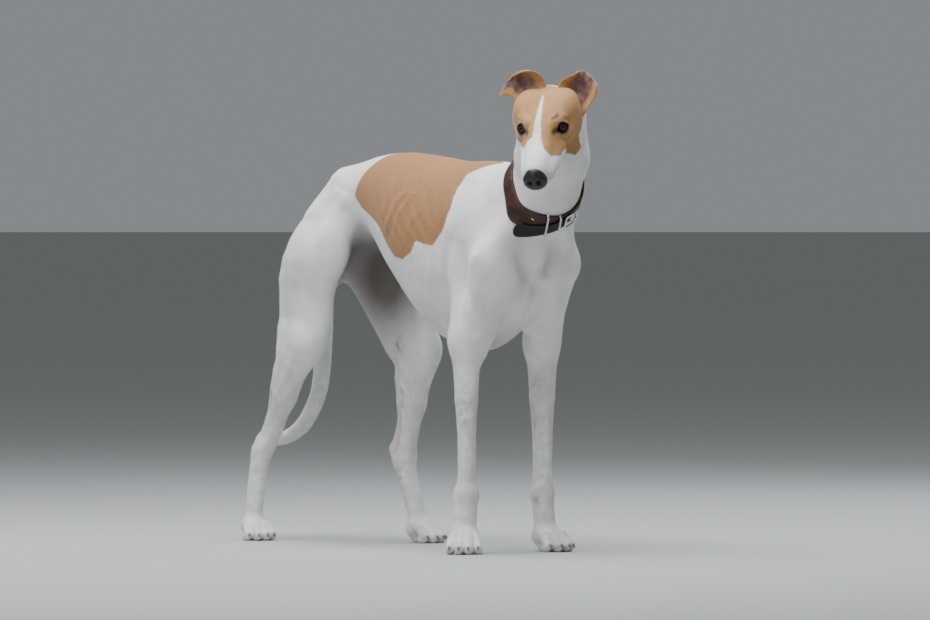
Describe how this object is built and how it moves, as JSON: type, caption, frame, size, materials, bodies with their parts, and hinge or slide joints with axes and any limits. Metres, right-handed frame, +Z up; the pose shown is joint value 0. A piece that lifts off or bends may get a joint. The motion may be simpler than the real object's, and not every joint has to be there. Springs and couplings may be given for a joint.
{
  "type": "greyhound",
  "caption": "Life-size greyhound standing with its head turned to its right, folded ears, a hanging tail and a buckled leather collar.",
  "frame": {"origin": "on the floor, under the middle of the bounding box", "axes": "+X the way the body faces, +Y the dog's left side, +Z up"},
  "size_m": [1.1088, 0.2708, 0.8578],
  "materials": {
    "white_coat": "matte",
    "tan_coat": "matte",
    "nose_leather": "satin",
    "eye_gloss": "gloss",
    "collar_leather": "satin",
    "steel": "polished"
  },
  "bodies": {
    "root": {"head": "tan_coat", "nose": "nose_leather", "eye_right": "eye_gloss", "eye_left": "eye_gloss", "ear_right": "tan_coat", "ear_left": "tan_coat", "neck": "white_coat", "torso": "white_coat", "tail": "white_coat", "forearm_right": "white_coat", "forearm_left": "white_coat", "forepaw_right": "white_coat", "forepaw_left": "white_coat", "thigh_right": "white_coat", "thigh_left": "white_coat", "shank_right": "white_coat", "shank_left": "white_coat", "hock_right": "white_coat", "hock_left": "white_coat", "hindpaw_right": "white_coat", "hindpaw_left": "white_coat", "collar": "collar_leather", "strap_end": "collar_leather", "keeper_1": "steel", "keeper_2": "steel", "buckle": "steel"}
  },
  "joints": []
}
